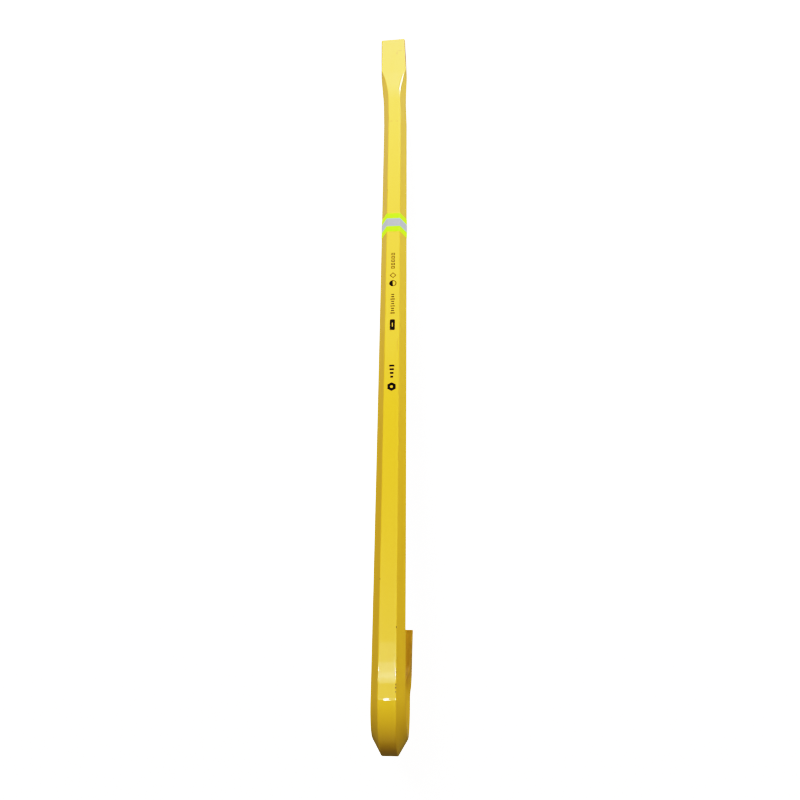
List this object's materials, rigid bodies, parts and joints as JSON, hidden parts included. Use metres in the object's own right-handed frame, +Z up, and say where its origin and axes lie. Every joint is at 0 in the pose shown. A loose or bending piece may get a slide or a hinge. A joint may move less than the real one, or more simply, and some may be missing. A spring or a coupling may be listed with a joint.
{
  "type": "tyre lever",
  "caption": "Hooked hexagonal steel tyre lever: a flat chisel blade at one end, a U-bent hook with a flattened blade at the other, and a reflective band round the shank.",
  "frame": {"origin": "middle of the bounding box's footprint, on the floor that the lever lies on", "axes": "+Y along the lever's footprint towards the chisel edge, +Z up from the floor, +X across the bar; the shank rises 6.06 degrees towards the hook at -Y"},
  "size_m": [0.0268, 0.6, 0.0702],
  "materials": {
    "enamel": "glossy yellow enamel over forged steel",
    "lime_tape": "satin fluorescent lime film",
    "silver_tape": "satin silver retroreflective film"
  },
  "bodies": {
    "root": {"lever_bar": "enamel", "fluorescent_tape": "lime_tape", "silver_strip": "silver_tape"}
  },
  "joints": []
}
